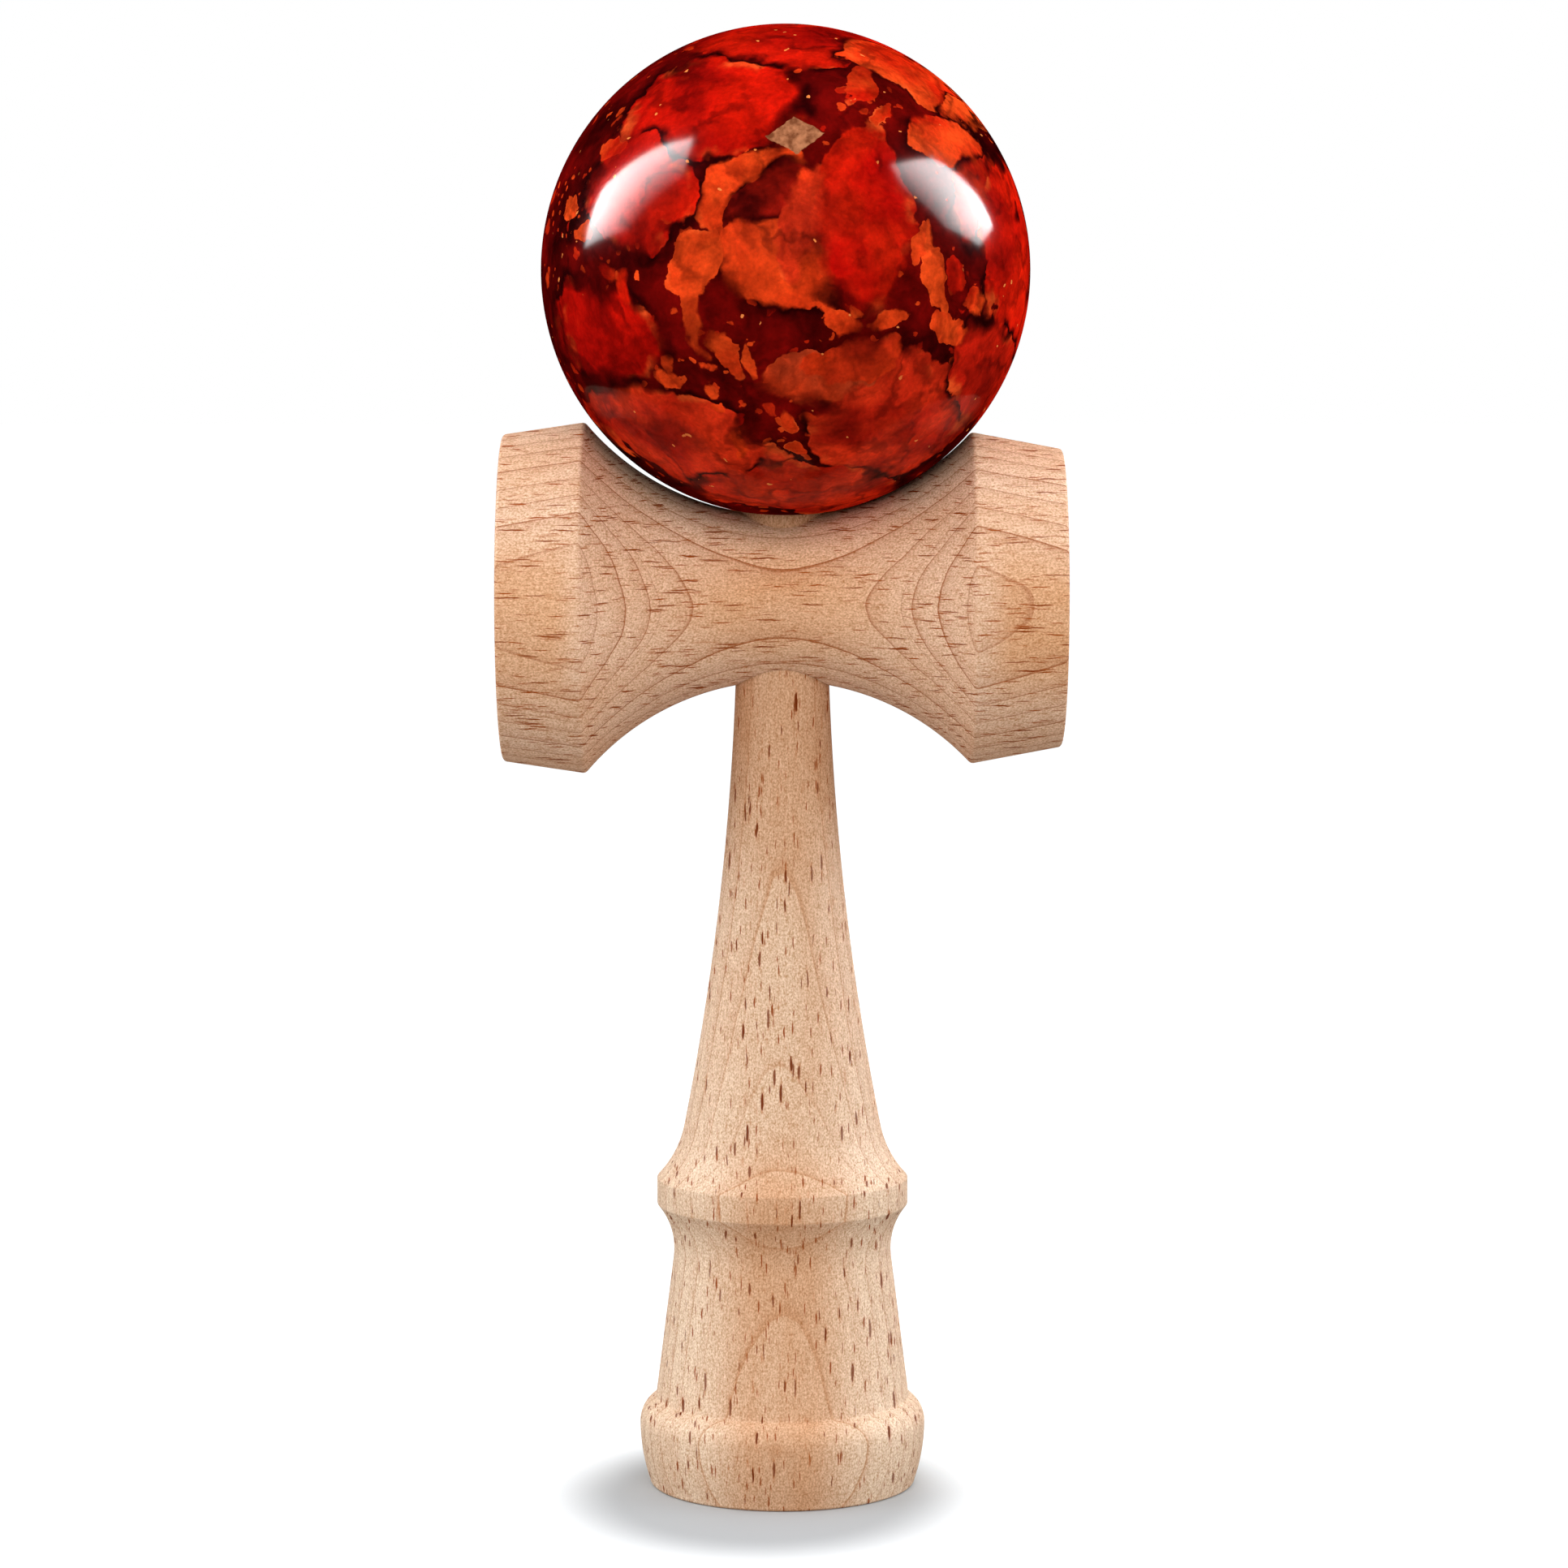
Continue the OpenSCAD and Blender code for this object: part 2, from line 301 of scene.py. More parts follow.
def beech(name, along, centre, layers, warm_tone_and_shade, rings, late_side, rays, tints):
    finish, tree, shader, place = new_finish(name)
    axes = axes_of(tree, vector(tree, "SCALE", vector(tree, "SUBTRACT", place, centre), MM))
    run, side, depth = axes.other(along), axes.other("X" if along == "Z" else "Z"), axes.other("Y")
    grain = place_at(tree, run, side, depth)
    pale, late_brown, warm_tan_and_shade = (paint(*tint) for tint in tints)

    wander = (long_noise(tree, grain, (0.03, 0.1, 0.06), 3.0) - 0.5) * 1.2
    year = year_rings(tree, layers(run, side, depth) + wander, rings)
    growth = year.fraction() if late_side > 0 else 1.0 - year.fraction()
    late = growth ** 3.0 * 0.35 + growth.rise(0.92, 0.98) * 0.65
    tone = lot_for(tree, year.whole())

    broad = long_noise(tree, grain, (0.04, 0.12, 0.12), 3.0)
    # The warm tint is the wood's warmer tone, and on the handle it is also painted shade.
    tinted_and_shaded = broad.rise(0.35, 0.7) * 0.3 + warm_tone_and_shade(run, side, broad) * 0.6
    colour = blend(tree, tinted_and_shaded, pale, warm_tan_and_shade)
    colour = blend(tree, late * (0.45 + tone * 0.55), colour, late_brown)
    fibre = long_noise(tree, grain, (0.3, 5.0, 3.0), 3.0)
    speck = long_noise(tree, grain, (3.8, 5.0, 4.2), 2.0)
    flecks = vector(tree, "SCALE", FLECK_TINT, (fibre - 0.5) * 0.5 + (speck - 0.5) * 1.7)
    colour = vector(tree, "MULTIPLY", colour, vector(tree, "ADD", flecks, (1.0, 1.0, 1.0)))
    colour, pits = ray_marks(tree, grain, side, rays, colour)

    rough = 0.62 + (fibre - 0.5) * 0.2 + pits * 0.15
    bump = Wire.node(tree, "ShaderNodeBump", {}, {
        "Strength": 0.3, "Distance": 0.0001, "Height": fibre * 0.5 + speck * 0.3 - pits})
    shader.inputs["Specular IOR Level"].default_value = 0.04
    feed(tree, shader, Base_Color=colour, Roughness=rough, Normal=bump)
    print(name, "has", len(tree.nodes), "nodes and", len(rings) - 1, "year rings")
    return finish

# %% [markdown]
# The handle was cut with its grain upright. Its rings are flat layers that lean a little, and
# their depths follow the arches in the photograph. A warm, darker stripe down the front, strongest
# at the base, and a warm top of the shaft are partly the wood's tone and partly painted shade: the
# top lies in the crosspiece's shadow, and the sides stay pale where the side light and sheen fall.
# A row of rays holds the cell's size along, across and into the wood, the lens's share of the
# cell, the lot above which it is kept, its strength and its colour.

# %% The handle's beech
axis_y = frame["record"]["mounts"][0]["pos_m"][1]
LAYER_LEAN, LEVEL_RUN = 0.0316, 38.0
HANDLE_RINGS = (-22.0, -19.0, -17.2, -13.7, -11.07, -8.76, -6.3, -3.9, -1.2, 1.6, 4.4, 7.6,
                10.4, 13.4, 16.6, 19.6, 23.0)
HANDLE_RAYS = (
    ((1.6, 0.16, 3.0), 0.26, 0.6, 0.3, (190, 112, 60)),
    ((2.6, 0.3, 1.3), 0.28, 0.7, 1.0, (146, 64, 8)),
    ((4.4, 0.6, 1.6), 0.27, 0.7, 1.0, (114, 42, 0)))


def flat_layers(run, side, depth):
    return depth - (run - LEVEL_RUN) * LAYER_LEAN


# Partly painted shade: a darker front stripe, strongest at the base, and a warm shaft top, beside
# paler sides.
def front_stripe_and_shade(run, side, broad):
    stripe = 1.0 - (abs(side) + (broad - 0.5) * 8.0).rise(3.0, 11.0)
    return stripe * (1.2 - run.rise(34.0, 48.0) * 0.6) + run.rise(72.0, 92.0) * 0.75


handle_beech = beech(
    "handle_beech", "Z", (0.0, axis_y, 0.0), flat_layers, front_stripe_and_shade, HANDLE_RINGS, -1,
    HANDLE_RAYS, ((238, 209, 180), (200, 146, 106), (212, 160, 120)))

# %% [markdown]
# The crosspiece was cut with its grain lying, so it has a finish of its own. Its rings curve
# about the heart of the tree, which lay in front of it, and the turned form cuts them into loops
# at both sides. The middle of the waist and a band at each end are warmer in colour.

# %% The crosspiece's beech
cross_z = frame["record"]["mounts"][1]["pos_m"][2]
HEART_FORWARD = 50.0
CROSSPIECE_RINGS = (-24.0, -21.8, -19.3, -16.4, -14.4, -13.8, -12.0, -9.1, -6.2, -3.5, -0.5, 2.6,
                    5.5, 8.6, 12.0, 15.0, 18.0, 21.5, 25.0)
CROSSPIECE_RAYS = (
    ((1.8, 0.14, 3.0), 0.26, 0.5, 0.4, (186, 104, 50)),
    ((3.8, 0.22, 2.6), 0.28, 0.48, 1.0, (162, 70, 4)),
    ((6.8, 0.32, 3.6), 0.27, 0.55, 1.0, (138, 54, 0)))


def curved_layers(run, side, depth):
    return ((depth + HEART_FORWARD) ** 2 + side ** 2) ** 0.5 - HEART_FORWARD


def middle_glow(run, side, broad):
    away = (run ** 2 * 0.3 + side ** 2) ** 0.5 + (broad - 0.5) * 10.0
    off_middle = abs(side + 2.0) + (broad - 0.5) * 8.0
    band = abs(run).rise(24.0, 28.0) * (1.0 - off_middle.rise(3.0, 13.0))
    return (1.0 - away.rise(2.0, 11.0)).most(band)


crosspiece_beech = beech(
    "crosspiece_beech", "X", (0.0, axis_y, cross_z), curved_layers, middle_glow,
    CROSSPIECE_RINGS, 1, CROSSPIECE_RAYS, ((238, 197, 165), (172, 100, 58), (223, 163, 114)))

# %% [markdown]
# The ball's paint is marbled: red and orange patches with torn edges lie on a dark maroon ground,
# all under thick clear lacquer. One noise through a ramp of colours could make it, but then the
# colours would lie side by side in the same order everywhere. So each patch is an ellipse of its
# own, laid over the one before, with two colours that wash into each other and a dark rim. A row
# holds the place across and up, the width, the height and the turn, on a ball of radius 1, and
# the two colours.

# %% The marbled paint's colours and patches
RED, DEEP, ORANGE = (188, 21, 5), (156, 9, 4), (224, 70, 22)
CLAY, BRICK, BROWN, MAROON = (204, 50, 14), (204, 46, 18), (160, 22, 9), (36, 1, 2)
PATCHES = (
    (0.07, 0.90, 0.50, 0.11, -3, RED, DEEP),
    (-0.28, 0.64, 0.37, 0.19, 12, (186, 18, 4), DEEP),
    (0.47, 0.76, 0.27, 0.08, -22, (204, 34, 8), ORANGE),
    (0.70, 0.60, 0.11, 0.05, -40, ORANGE, RED),
    (0.66, 0.49, 0.17, 0.11, -20, ORANGE, RED),
    (0.80, 0.28, 0.11, 0.18, -10, (206, 46, 12), DEEP),
    (0.90, -0.02, 0.10, 0.46, 3, (218, 28, 7), (176, 14, 5)),
    (-0.13, 0.27, 0.26, 0.19, 42, (206, 50, 14), ORANGE),
    (-0.08, 0.23, 0.23, 0.13, 42, MAROON, BROWN),
    (-0.04, 0.0, 0.27, 0.16, -12, CLAY, (212, 60, 18)),
    (-0.58, 0.28, 0.21, 0.19, 35, RED, DEEP),
    (-0.70, -0.24, 0.24, 0.19, -10, (176, 13, 4), DEEP),
    (-0.40, -0.70, 0.44, 0.17, -22, BRICK, BROWN),
    (0.42, -0.60, 0.30, 0.25, 25, BRICK, BROWN),
    (0.80, -0.44, 0.15, 0.22, 15, (190, 26, 9), BROWN),
    (0.03, -0.90, 0.44, 0.10, 0, BROWN, BRICK))
print(len(PATCHES), "patches on the ball's front")

# %% [markdown]
# Touches of the same colours go on after the patches and have no dark rim. The first few are
# broad and the rest are small, most of them orange.

# %% The touches
TOUCHES = (
    (0.08, 0.18, 0.11, 0.25, -14, CLAY, BRICK),
    (0.30, 0.20, 0.19, 0.36, 3, (172, 9, 4), (200, 30, 7)),
    (0.10, -0.43, 0.22, 0.09, 10, (186, 60, 28), CLAY),
    (0.24, -0.36, 0.20, 0.07, 14, CLAY, BRICK),
    (0.577, -0.02, 0.034, 0.19, 6, ORANGE, ORANGE),
    (0.52, 0.10, 0.02, 0.08, -8, ORANGE, CLAY),
    (0.66, -0.01, 0.042, 0.08, 0, ORANGE, RED),
    (0.75, -0.13, 0.052, 0.065, 0, ORANGE, RED),
    (0.64, -0.25, 0.085, 0.045, -10, ORANGE, RED),
    (0.39, -0.215, 0.075, 0.036, 10, ORANGE, CLAY),
    (0.20, -0.21, 0.095, 0.055, -15, ORANGE, CLAY),
    (-0.38, 0.035, 0.075, 0.10, -20, CLAY, ORANGE),
    (-0.35, -0.17, 0.035, 0.16, 15, CLAY, ORANGE),
    (-0.24, -0.335, 0.03, 0.12, 22, CLAY, ORANGE),
    (-0.17, -0.35, 0.022, 0.08, 20, ORANGE, CLAY),
    (-0.475, -0.435, 0.065, 0.034, -25, ORANGE, CLAY),
    (-0.86, 0.24, 0.022, 0.07, -10, ORANGE, RED),
    (-0.82, 0.125, 0.03, 0.044, 0, ORANGE, RED),
    (-0.72, 0.0, 0.07, 0.03, -25, CLAY, RED),
    (-0.62, -0.05, 0.04, 0.06, 20, RED, CLAY),
    (0.285, 0.70, 0.05, 0.065, 10, ORANGE, RED),
    (0.38, 0.585, 0.05, 0.02, -10, ORANGE, RED),
    (-0.66, 0.47, 0.05, 0.045, 20, ORANGE, RED),
    (-0.36, 0.885, 0.045, 0.022, 20, ORANGE, RED),
    (-0.17, -0.70, 0.05, 0.04, -50, CLAY, ORANGE),
    (0.05, -0.72, 0.03, 0.03, 0, CLAY, ORANGE),
    (0.03, -0.61, 0.03, 0.045, -20, CLAY, ORANGE),
    (-0.30, -0.56, 0.03, 0.02, 0, CLAY, ORANGE))
print(len(TOUCHES), "touches go on after them")

# %% [markdown]
# Noise that bends the coordinates is what tears an edge: a slow bend makes the paint drift, and
# two finer bends fray it. The other noises decide where two colours wash together, where an edge
# is soft, where it carries a bright fringe, and where a dark rim bleeds out from under it.

# %% Coordinates and noises of the marbling
ball_joint = next(joint for joint in frame["joints"] if joint["name"] == "ball_spin")
ball_centre = Vector(ball_joint["pos_m"])
ball_low, ball_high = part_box("ball")
ball_r = (ball_high.x - ball_low.x) / 2
print("ball radius in mm:", round(ball_r * MM, 3))

marbled_lacquer, tree, shader, place = new_finish("marbled_lacquer")
unit = vector(tree, "SCALE", vector(tree, "SUBTRACT", place, ball_centre), 1 / ball_r)


def bent_by(amount, scale, detail, under):
    swing = vector(tree, "SUBTRACT", noise(tree, unit, scale, detail, "Color"), (0.5, 0.5, 0.5))
    return vector(tree, "ADD", under, vector(tree, "SCALE", swing, amount))


drift = bent_by(0.24, 2.2, 2.0, unit)
torn = bent_by(0.045, 22.0, 5.0, bent_by(0.08, 8.0, 2.0, drift))
tear = (noise(tree, drift, 7.0, 3.0) - 0.5) * 0.3
wash = noise(tree, drift, 3.4, 4.0).rise(0.34, 0.66)
soft = 0.96 - noise(tree, unit, 4.0, 2.0).rise(0.45, 0.65) * 0.5
fringe = noise(tree, unit, 6.0, 3.0).rise(0.5, 0.7) * 0.7
bleed = noise(tree, unit, 5.0, 2.0).rise(0.36, 0.56)

# %% [markdown]
# The ground goes down first, a maroon that clouds into dark red. Chips of three sizes lie on it,
# one to a cell where the cell's lot is high enough. They read the torn coordinates, so each has
# an outline of its own.

# %% Ground and chips
CHIPS = ((6.5, 0.26, 0.62), (12.0, 0.28, 0.7), (20.0, 0.32, 0.75))

ground = noise(tree, drift, 3.0, 4.0).rise(0.3, 0.7)
colour = blend(tree, ground, paint(38, 1, 2), paint(112, 6, 4))
for scale, size, rare in CHIPS:
    chip = cells(tree, torn, scale)
    lots = lots_of(tree, chip)
    chipped = (1.0 - chip.rise(size * 0.8, size)) * lots.other("Red").rise(rare, rare + 0.02)
    chip_colour = blend(tree, lots.other("Blue"), paint(164, 14, 5), paint(*ORANGE))
    colour = blend(tree, chipped, colour, chip_colour)
print(len(CHIPS), "sizes of chips on the ground")

# %% [markdown]
# The photograph doesn't show the ball's back, so nothing there is placed by hand. Large bent
# cells stand in for the patches, and a ramp picks each one's colour by its lot. They come in
# where the ball turns to the back, so the marbling carries on all round.

# %% The back's patches
BACK_REACH, BACK_RIM = 0.6, 0.08
BACK_COLOURS = ((0.0, DEEP), (0.35, RED), (0.6, ORANGE), (0.8, BRICK), (1.0, BROWN))

behind = axes_of(tree, unit).other("Y").rise(0.0, 0.2)
patch = cells(tree, bent_by(0.6, 1.6, 2.0, torn), 1.7)
lots = lots_of(tree, patch)
hue = Wire.node(tree, "ShaderNodeValToRGB",
                {"stops": [(stop, paint(*colour_at)) for stop, colour_at in BACK_COLOURS]},
                {0: lots.other("Green") * 0.8 + patch * 0.5 + tear * 0.4})
covered = lots.other("Red").rise(0.08, 0.1) * behind
back_rim = (1.0 - patch.rise(BACK_REACH, BACK_REACH + BACK_RIM)) * bleed * covered
colour = blend(tree, back_rim, colour, paint(*MAROON))
colour = blend(tree, (1.0 - patch.rise(soft * BACK_REACH, BACK_REACH)) * covered, colour, hue)
print("ground, chips and back use", len(tree.nodes), "nodes")

# %% [markdown]
# A Mapping node of the Texture kind moves, turns and stretches the coordinates so that each
# ellipse becomes a ball of radius 1, and the distance from its centre says where its paint ends.
# The ellipses only reach some way into the ball, so paint at the front doesn't show at the back.

# %% Lay the patches and touches
PATCH_SPREAD, PATCH_DEPTH = 1.1, 0.8
FRINGE_ORANGE = paint(228, 88, 36)


def length_of(tree, place):
    return vector(tree, "LENGTH", place, (0, 0, 0), "Value")


def lay(under, rim, across, up, wide, tall, turned, heart, edge):
    front = -math.sqrt(1 - across ** 2 - up ** 2)
    spread = Wire.node(tree, "ShaderNodeMapping", {"vector_type": "TEXTURE"}, {
        "Vector": torn, "Location": (across, front, up),
        "Rotation": (0, -math.radians(turned), 0),
        "Scale": (wide * PATCH_SPREAD, PATCH_DEPTH, tall * PATCH_SPREAD)})
    reach = length_of(tree, spread) + tear
    pigment = blend(tree, wash, paint(*heart), paint(*edge))
    pigment = blend(tree, reach.rise(0.75, 0.95) * fringe, pigment, FRINGE_ORANGE)
    if rim:
        under = blend(tree, (1.0 - reach.rise(1.0, 1.2)) * bleed, under, paint(*MAROON))
    return blend(tree, 1.0 - reach.rise(soft, 1.0), under, pigment)


for row in PATCHES:
    colour = lay(colour, True, *row)
for row in TOUCHES:
    colour = lay(colour, False, *row)
print("with patches and touches there are", len(tree.nodes), "nodes")

# %% [markdown]
# Real marbling isn't flat: dark stains lie over it, its pigment is mottled, thin dark veins cross
# it, and bright specks and a fine grit show from close by.

# %% Stains, mottle, veins and specks
stain = noise(tree, drift, 3.6, 5.0).rise(0.5, 0.72)
colour = blend(tree, stain * 0.65, colour, paint(92, 4, 3))
mottle = (noise(tree, torn, 5.0, 6.0).rise(0.25, 0.75) * 0.65
          + noise(tree, torn, 21.0, 5.0).rise(0.25, 0.75) * 0.35)
colour = vector(tree, "SCALE", colour, 0.4 + mottle * 1.3)
vein = 1.0 - abs(noise(tree, torn, 2.4, 4.0) - 0.5).rise(0.0, 0.04)
colour = blend(tree, vein * bleed * 0.5, colour, paint(*MAROON))
speck = cells(tree, torn, 30.0)
specked = (1.0 - speck.rise(0.2, 0.28)) * lots_of(tree, speck).other("Red").rise(0.975, 0.98)
colour = blend(tree, specked, colour, paint(236, 132, 66))
grit = noise(tree, unit, 70.0, 2.0)
colour = vector(tree, "SCALE", colour, 1.0 + (grit - 0.5) * 0.6)

# %% [markdown]
# One flake of copper leaf lies near the top of the front. Adding up the distances along the three
# axes makes it a diamond, where a length would make an ellipse. Noise gives the beaten metal its
# lighter and darker spots.

# %% The copper flake
FLAKE_PLACE, FLAKE_SIZE, FLAKE_TURN = (0.037, -0.85, 0.52), (0.115, 0.8, 0.078), 4

leaf = axes_of(tree, Wire.node(tree, "ShaderNodeMapping", {"vector_type": "TEXTURE"}, {
    "Vector": bent_by(0.03, 20.0, 2.0, unit), "Location": FLAKE_PLACE,
    "Rotation": (0, -math.radians(FLAKE_TURN), 0), "Scale": FLAKE_SIZE}))
from_middle = abs(leaf.other("X")) + abs(leaf.other("Z")) + abs(leaf.other("Y"))
beaten = noise(tree, unit, 30.0, 4.0).rise(0.3, 0.7)
copper = blend(tree, beaten, paint(118, 66, 40), paint(190, 124, 86))
colour = blend(tree, 1.0 - from_middle.rise(0.97, 1.03), colour, copper)
print("flake is", round(2 * FLAKE_SIZE[0] * ball_r * MM, 1), "mm wide")

# %% [markdown]
# The paint stops at the holes: inside them the ball is bare wood. They could have a finish of
# their own, but the distance from the ball's centre tells them apart in this one. The clear coat
# is eased where the ball turns away from the eye. There it would mirror the white set so strongly
# that the rim would be lost against the background.

# %% The bare holes and the clear coat
BARE_WOOD = paint(214, 170, 126)

outside = length_of(tree, unit).rise(0.984, 0.99)
colour = blend(tree, outside, BARE_WOOD, colour)
glance = Wire.node(tree, "ShaderNodeLayerWeight", {}, {}, "Facing").rise(0.5, 0.8)
for name, value in (("Coat Roughness", 0.1), ("Coat IOR", 1.12), ("Specular IOR Level", 0.0)):
    shader.inputs[name].default_value = value
feed(tree, shader, Base_Color=colour, Roughness=0.6 - outside * 0.2,
     Coat_Weight=outside * (1.0 - glance))
print("marbled lacquer has", len(tree.nodes), "nodes")

# %% [markdown]
# A turner works to a template: half an outline made of straight runs and arcs. A curve with a
# Screw modifier could do the same, but in a bmesh an arc is exact, from its centre and its angle.
# An extruded vertex makes a straight run and a spun vertex makes an arc. A step of two numbers
# runs to that point, and one of three turns about a centre by an angle. Lengths are in mm.

# %% Draw a template
ARC_ERROR, ARC_ERROR_SHARE = 0.004, 0.03


def run_to(bm, tip, along, up):
    made = bmesh.ops.extrude_vert_indiv(bm, verts=[tip])["verts"][0]
    made.co = Vector((along, 0, up)) / MM
    return made


def arc_to(bm, tip, along, up, degrees):
    centre = Vector((along, 0, up)) / MM
    radius = (tip.co - centre).length * MM
    widest = 2 * math.degrees(math.acos(1 - min(ARC_ERROR / radius, ARC_ERROR_SHARE)))
    made = bmesh.ops.spin(bm, geom=[tip], cent=centre, axis=(0, -1, 0),
                          angle=math.radians(degrees),
                          steps=math.ceil(abs(degrees) / widest), use_merge=False)
    return next(part for part in made["geom_last"] if isinstance(part, bmesh.types.BMVert))


def draw(bm, start, template):
    tip = bm.verts.new(Vector((start[0], 0, start[1])) / MM)
    for step in template:
        tip = arc_to(bm, tip, *step) if len(step) == 3 else run_to(bm, tip, *step)

# %% [markdown]
# One spin about the lathe's axis turns the template into the piece. A full spin merges its last
# ring with its first, the doubled points on the axis are merged too, and the normals are then
# made to point outwards. Sanding breaks every sharp edge of turned wood a little, and a narrow
# bevel does so here.

# %% Turn a template and ease its edges
UPRIGHT, LYING = (0, 0, 1), (1, 0, 0)
MERGE = 2e-6


def turn(bm, axis, steps):
    bmesh.ops.remove_doubles(bm, verts=bm.verts, dist=MERGE)
    bmesh.ops.spin(bm, geom=bm.verts[:] + bm.edges[:], cent=(0, 0, 0), axis=axis,
                   angle=math.tau, steps=steps, use_merge=True)
    bmesh.ops.remove_doubles(bm, verts=bm.verts, dist=MERGE)
    bmesh.ops.recalc_face_normals(bm, faces=bm.faces)


def ease_edges(bm, width, angle=35):
    sharp = [edge for edge in bm.edges
             if len(edge.link_faces) == 2 and edge.calc_face_angle(0) > math.radians(angle)]
    bmesh.ops.bevel(bm, geom=sharp, offset=width / MM, offset_type="OFFSET", segments=3,
                    profile=0.5, affect="EDGES", clamp_overlap=True, material=-1)

# %% [markdown]
# A piece is one mesh with one finish, in an object that stays at the origin. Its faces are shaded
# smooth, and the edges of holes are marked sharp.

# %% Make and settle a piece
def new_piece(name, bm, finish):
    mesh = bpy.data.meshes.new(name)
    bm.to_mesh(mesh)
    bm.free()
    mesh.materials.append(finish)
    piece = bpy.data.objects.new(name, mesh)
    scene.collection.objects.link(piece)
    return piece


def shade(piece, angle=32):
    bm = bmesh.new()
    bm.from_mesh(piece.data)
    for face in bm.faces:
        face.smooth = True
    for edge in bm.edges:
        edge.smooth = len(edge.link_faces) == 2 and edge.calc_face_angle(0) < math.radians(angle)
    bm.to_mesh(piece.data)
    bm.free()


def settle(piece, body, node):
    shade(piece)
    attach(piece, body)
    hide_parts(node)
    print(piece.name, "has", len(piece.data.polygons), "faces")

# %% [markdown]
# The handle is one turning, from the small cup hollowed in its base to the tip of the spike. It
# could be joined from rings and cones, but a real one has no joints, and one template has none
# either. It follows the handle up: the hollow, the barrelled base ring, the neck, the middle
# ring, the long curve into the shaft, and the spike.

# %% Turn the handle
WOOD_EASE = 0.25
BASE_CUP_DEPTH = 6.5
HANDLE_TEMPLATE = (
    (0, -13.3723, -47.7078), (16.1788, 0), (16.1788, 0.5, 90), (-4.5286, 7.8, 18.9945),
    (14.34, 7.8, 64.0108), (13.6654, 28.6868), (22.5944, 29.8149, -46.305),
    (15.3, 35.7438, 39.1042), (15.7, 38.7398), (15.3, 38.7398, 43.3046),
    (25.0514, 47.9306, -32.0402), (353.6218, 113.3734, -9.2599), (5.0895, 121.8),
    (1.9919, 156.1795), (0, 156.0, 84.8516))

bm = bmesh.new()
draw(bm, (0, BASE_CUP_DEPTH), HANDLE_TEMPLATE)
turn(bm, UPRIGHT, steps=180)
ease_edges(bm, WOOD_EASE)
bmesh.ops.translate(bm, vec=(0, axis_y, 0), verts=bm.verts)
handle = new_piece("turned_handle", bm, handle_beech)
print("handle template has", len(HANDLE_TEMPLATE), "steps")

# %% [markdown]
# The string goes through the shaft and is knotted in a wider recess at the front of it, which
# the crosspiece hides. A hole across a turned piece is drilled with a Boolean. The drill is
# turned like the rest, laid across the shaft, used once and thrown away, so the piece keeps a
# plain mesh.

# %% Drill the shaft for the string
STRING_R, KNOT_R, KNOT_FLOOR, DRILL_REACH = 1.5, 2.6, -3.85, 8
lie = Matrix.Translation((0, axis_y, cross_z)) @ Matrix.Rotation(-math.pi / 2, 4, "X")


def string_drill(start, template):
    tool = bmesh.new()
    draw(tool, (0, start), template)
    turn(tool, UPRIGHT, steps=48)
    bmesh.ops.transform(tool, matrix=lie, verts=tool.verts)
    return tool


def drill(piece, bm):
    tool = new_piece("drill", bm, piece.data.materials[0])
    hole = piece.modifiers.new("hole", "BOOLEAN")
    hole.operation, hole.solver, hole.object = "DIFFERENCE", "EXACT", tool
    bpy.context.view_layer.update()
    drilled = piece.evaluated_get(bpy.context.evaluated_depsgraph_get())
    drilled = bpy.data.meshes.new_from_object(drilled)
    piece.modifiers.clear()
    piece.data = drilled
    bpy.data.objects.remove(tool)


drill(handle, string_drill(-DRILL_REACH, (
    (KNOT_R, -DRILL_REACH), (KNOT_R, KNOT_FLOOR), (STRING_R, KNOT_FLOOR),
    (STRING_R, DRILL_REACH), (0, DRILL_REACH))))
settle(handle, "handle", "handle")

# %% [markdown]
# The crosspiece is one turning too, about a lying axis. From its waist, a hollow that fits the
# ball runs up to a ridge at each end, then a short band slopes in to the rim of a cup. The cups
# could be cut out later, but they are part of the template on a lathe and here. Both halves are
# drawn from the waist, the big cup's half mirrored to the left.

# %% Turn the crosspiece
WAIST_R = 10.3
SMALL_END = (
    (0, 42.1, 46.6521), (23.634, 19.7911, -57.2575), (34.192, 18.5264),
    (34.1, 18.0349, -79.3946), (34.6, 16.65), (47.9264, 0, 51.3268))
BIG_END = (
    (0, 42.1, 49.5176), (24.7197, 21.0005, -57.9127), (34.173, 20.313),
    (34.1, 19.8184, -81.6049), (34.6, 18.45), (49.0113, 0, 52.0067))

bm = bmesh.new()
draw(bm, (0, WAIST_R), BIG_END)
bmesh.ops.scale(bm, vec=(-1, 1, 1), verts=bm.verts)
draw(bm, (0, WAIST_R), SMALL_END)
turn(bm, LYING, steps=180)
ease_edges(bm, WOOD_EASE)
bmesh.ops.translate(bm, vec=(0, axis_y, cross_z), verts=bm.verts)
crosspiece = new_piece("turned_crosspiece", bm, crosspiece_beech)
print("crosspiece templates have", len(BIG_END) + len(SMALL_END), "steps")

# %% [markdown]
# The crosspiece is pushed on to the shaft, which tapers, so its hole is bored with a tapered
# drill. The string's hole comes in from the back of the waist and opens out at the surface, so
# that no sharp edge wears the string.

# %% Bore the crosspiece for the shaft and the string
SHAFT_HOLE_R, SHAFT_TAPER, BORE_REACH = 5.55, 0.035, 14
HOLE_START, HOLE_EASE_START, HOLE_END = 1, 9.95, 11.05

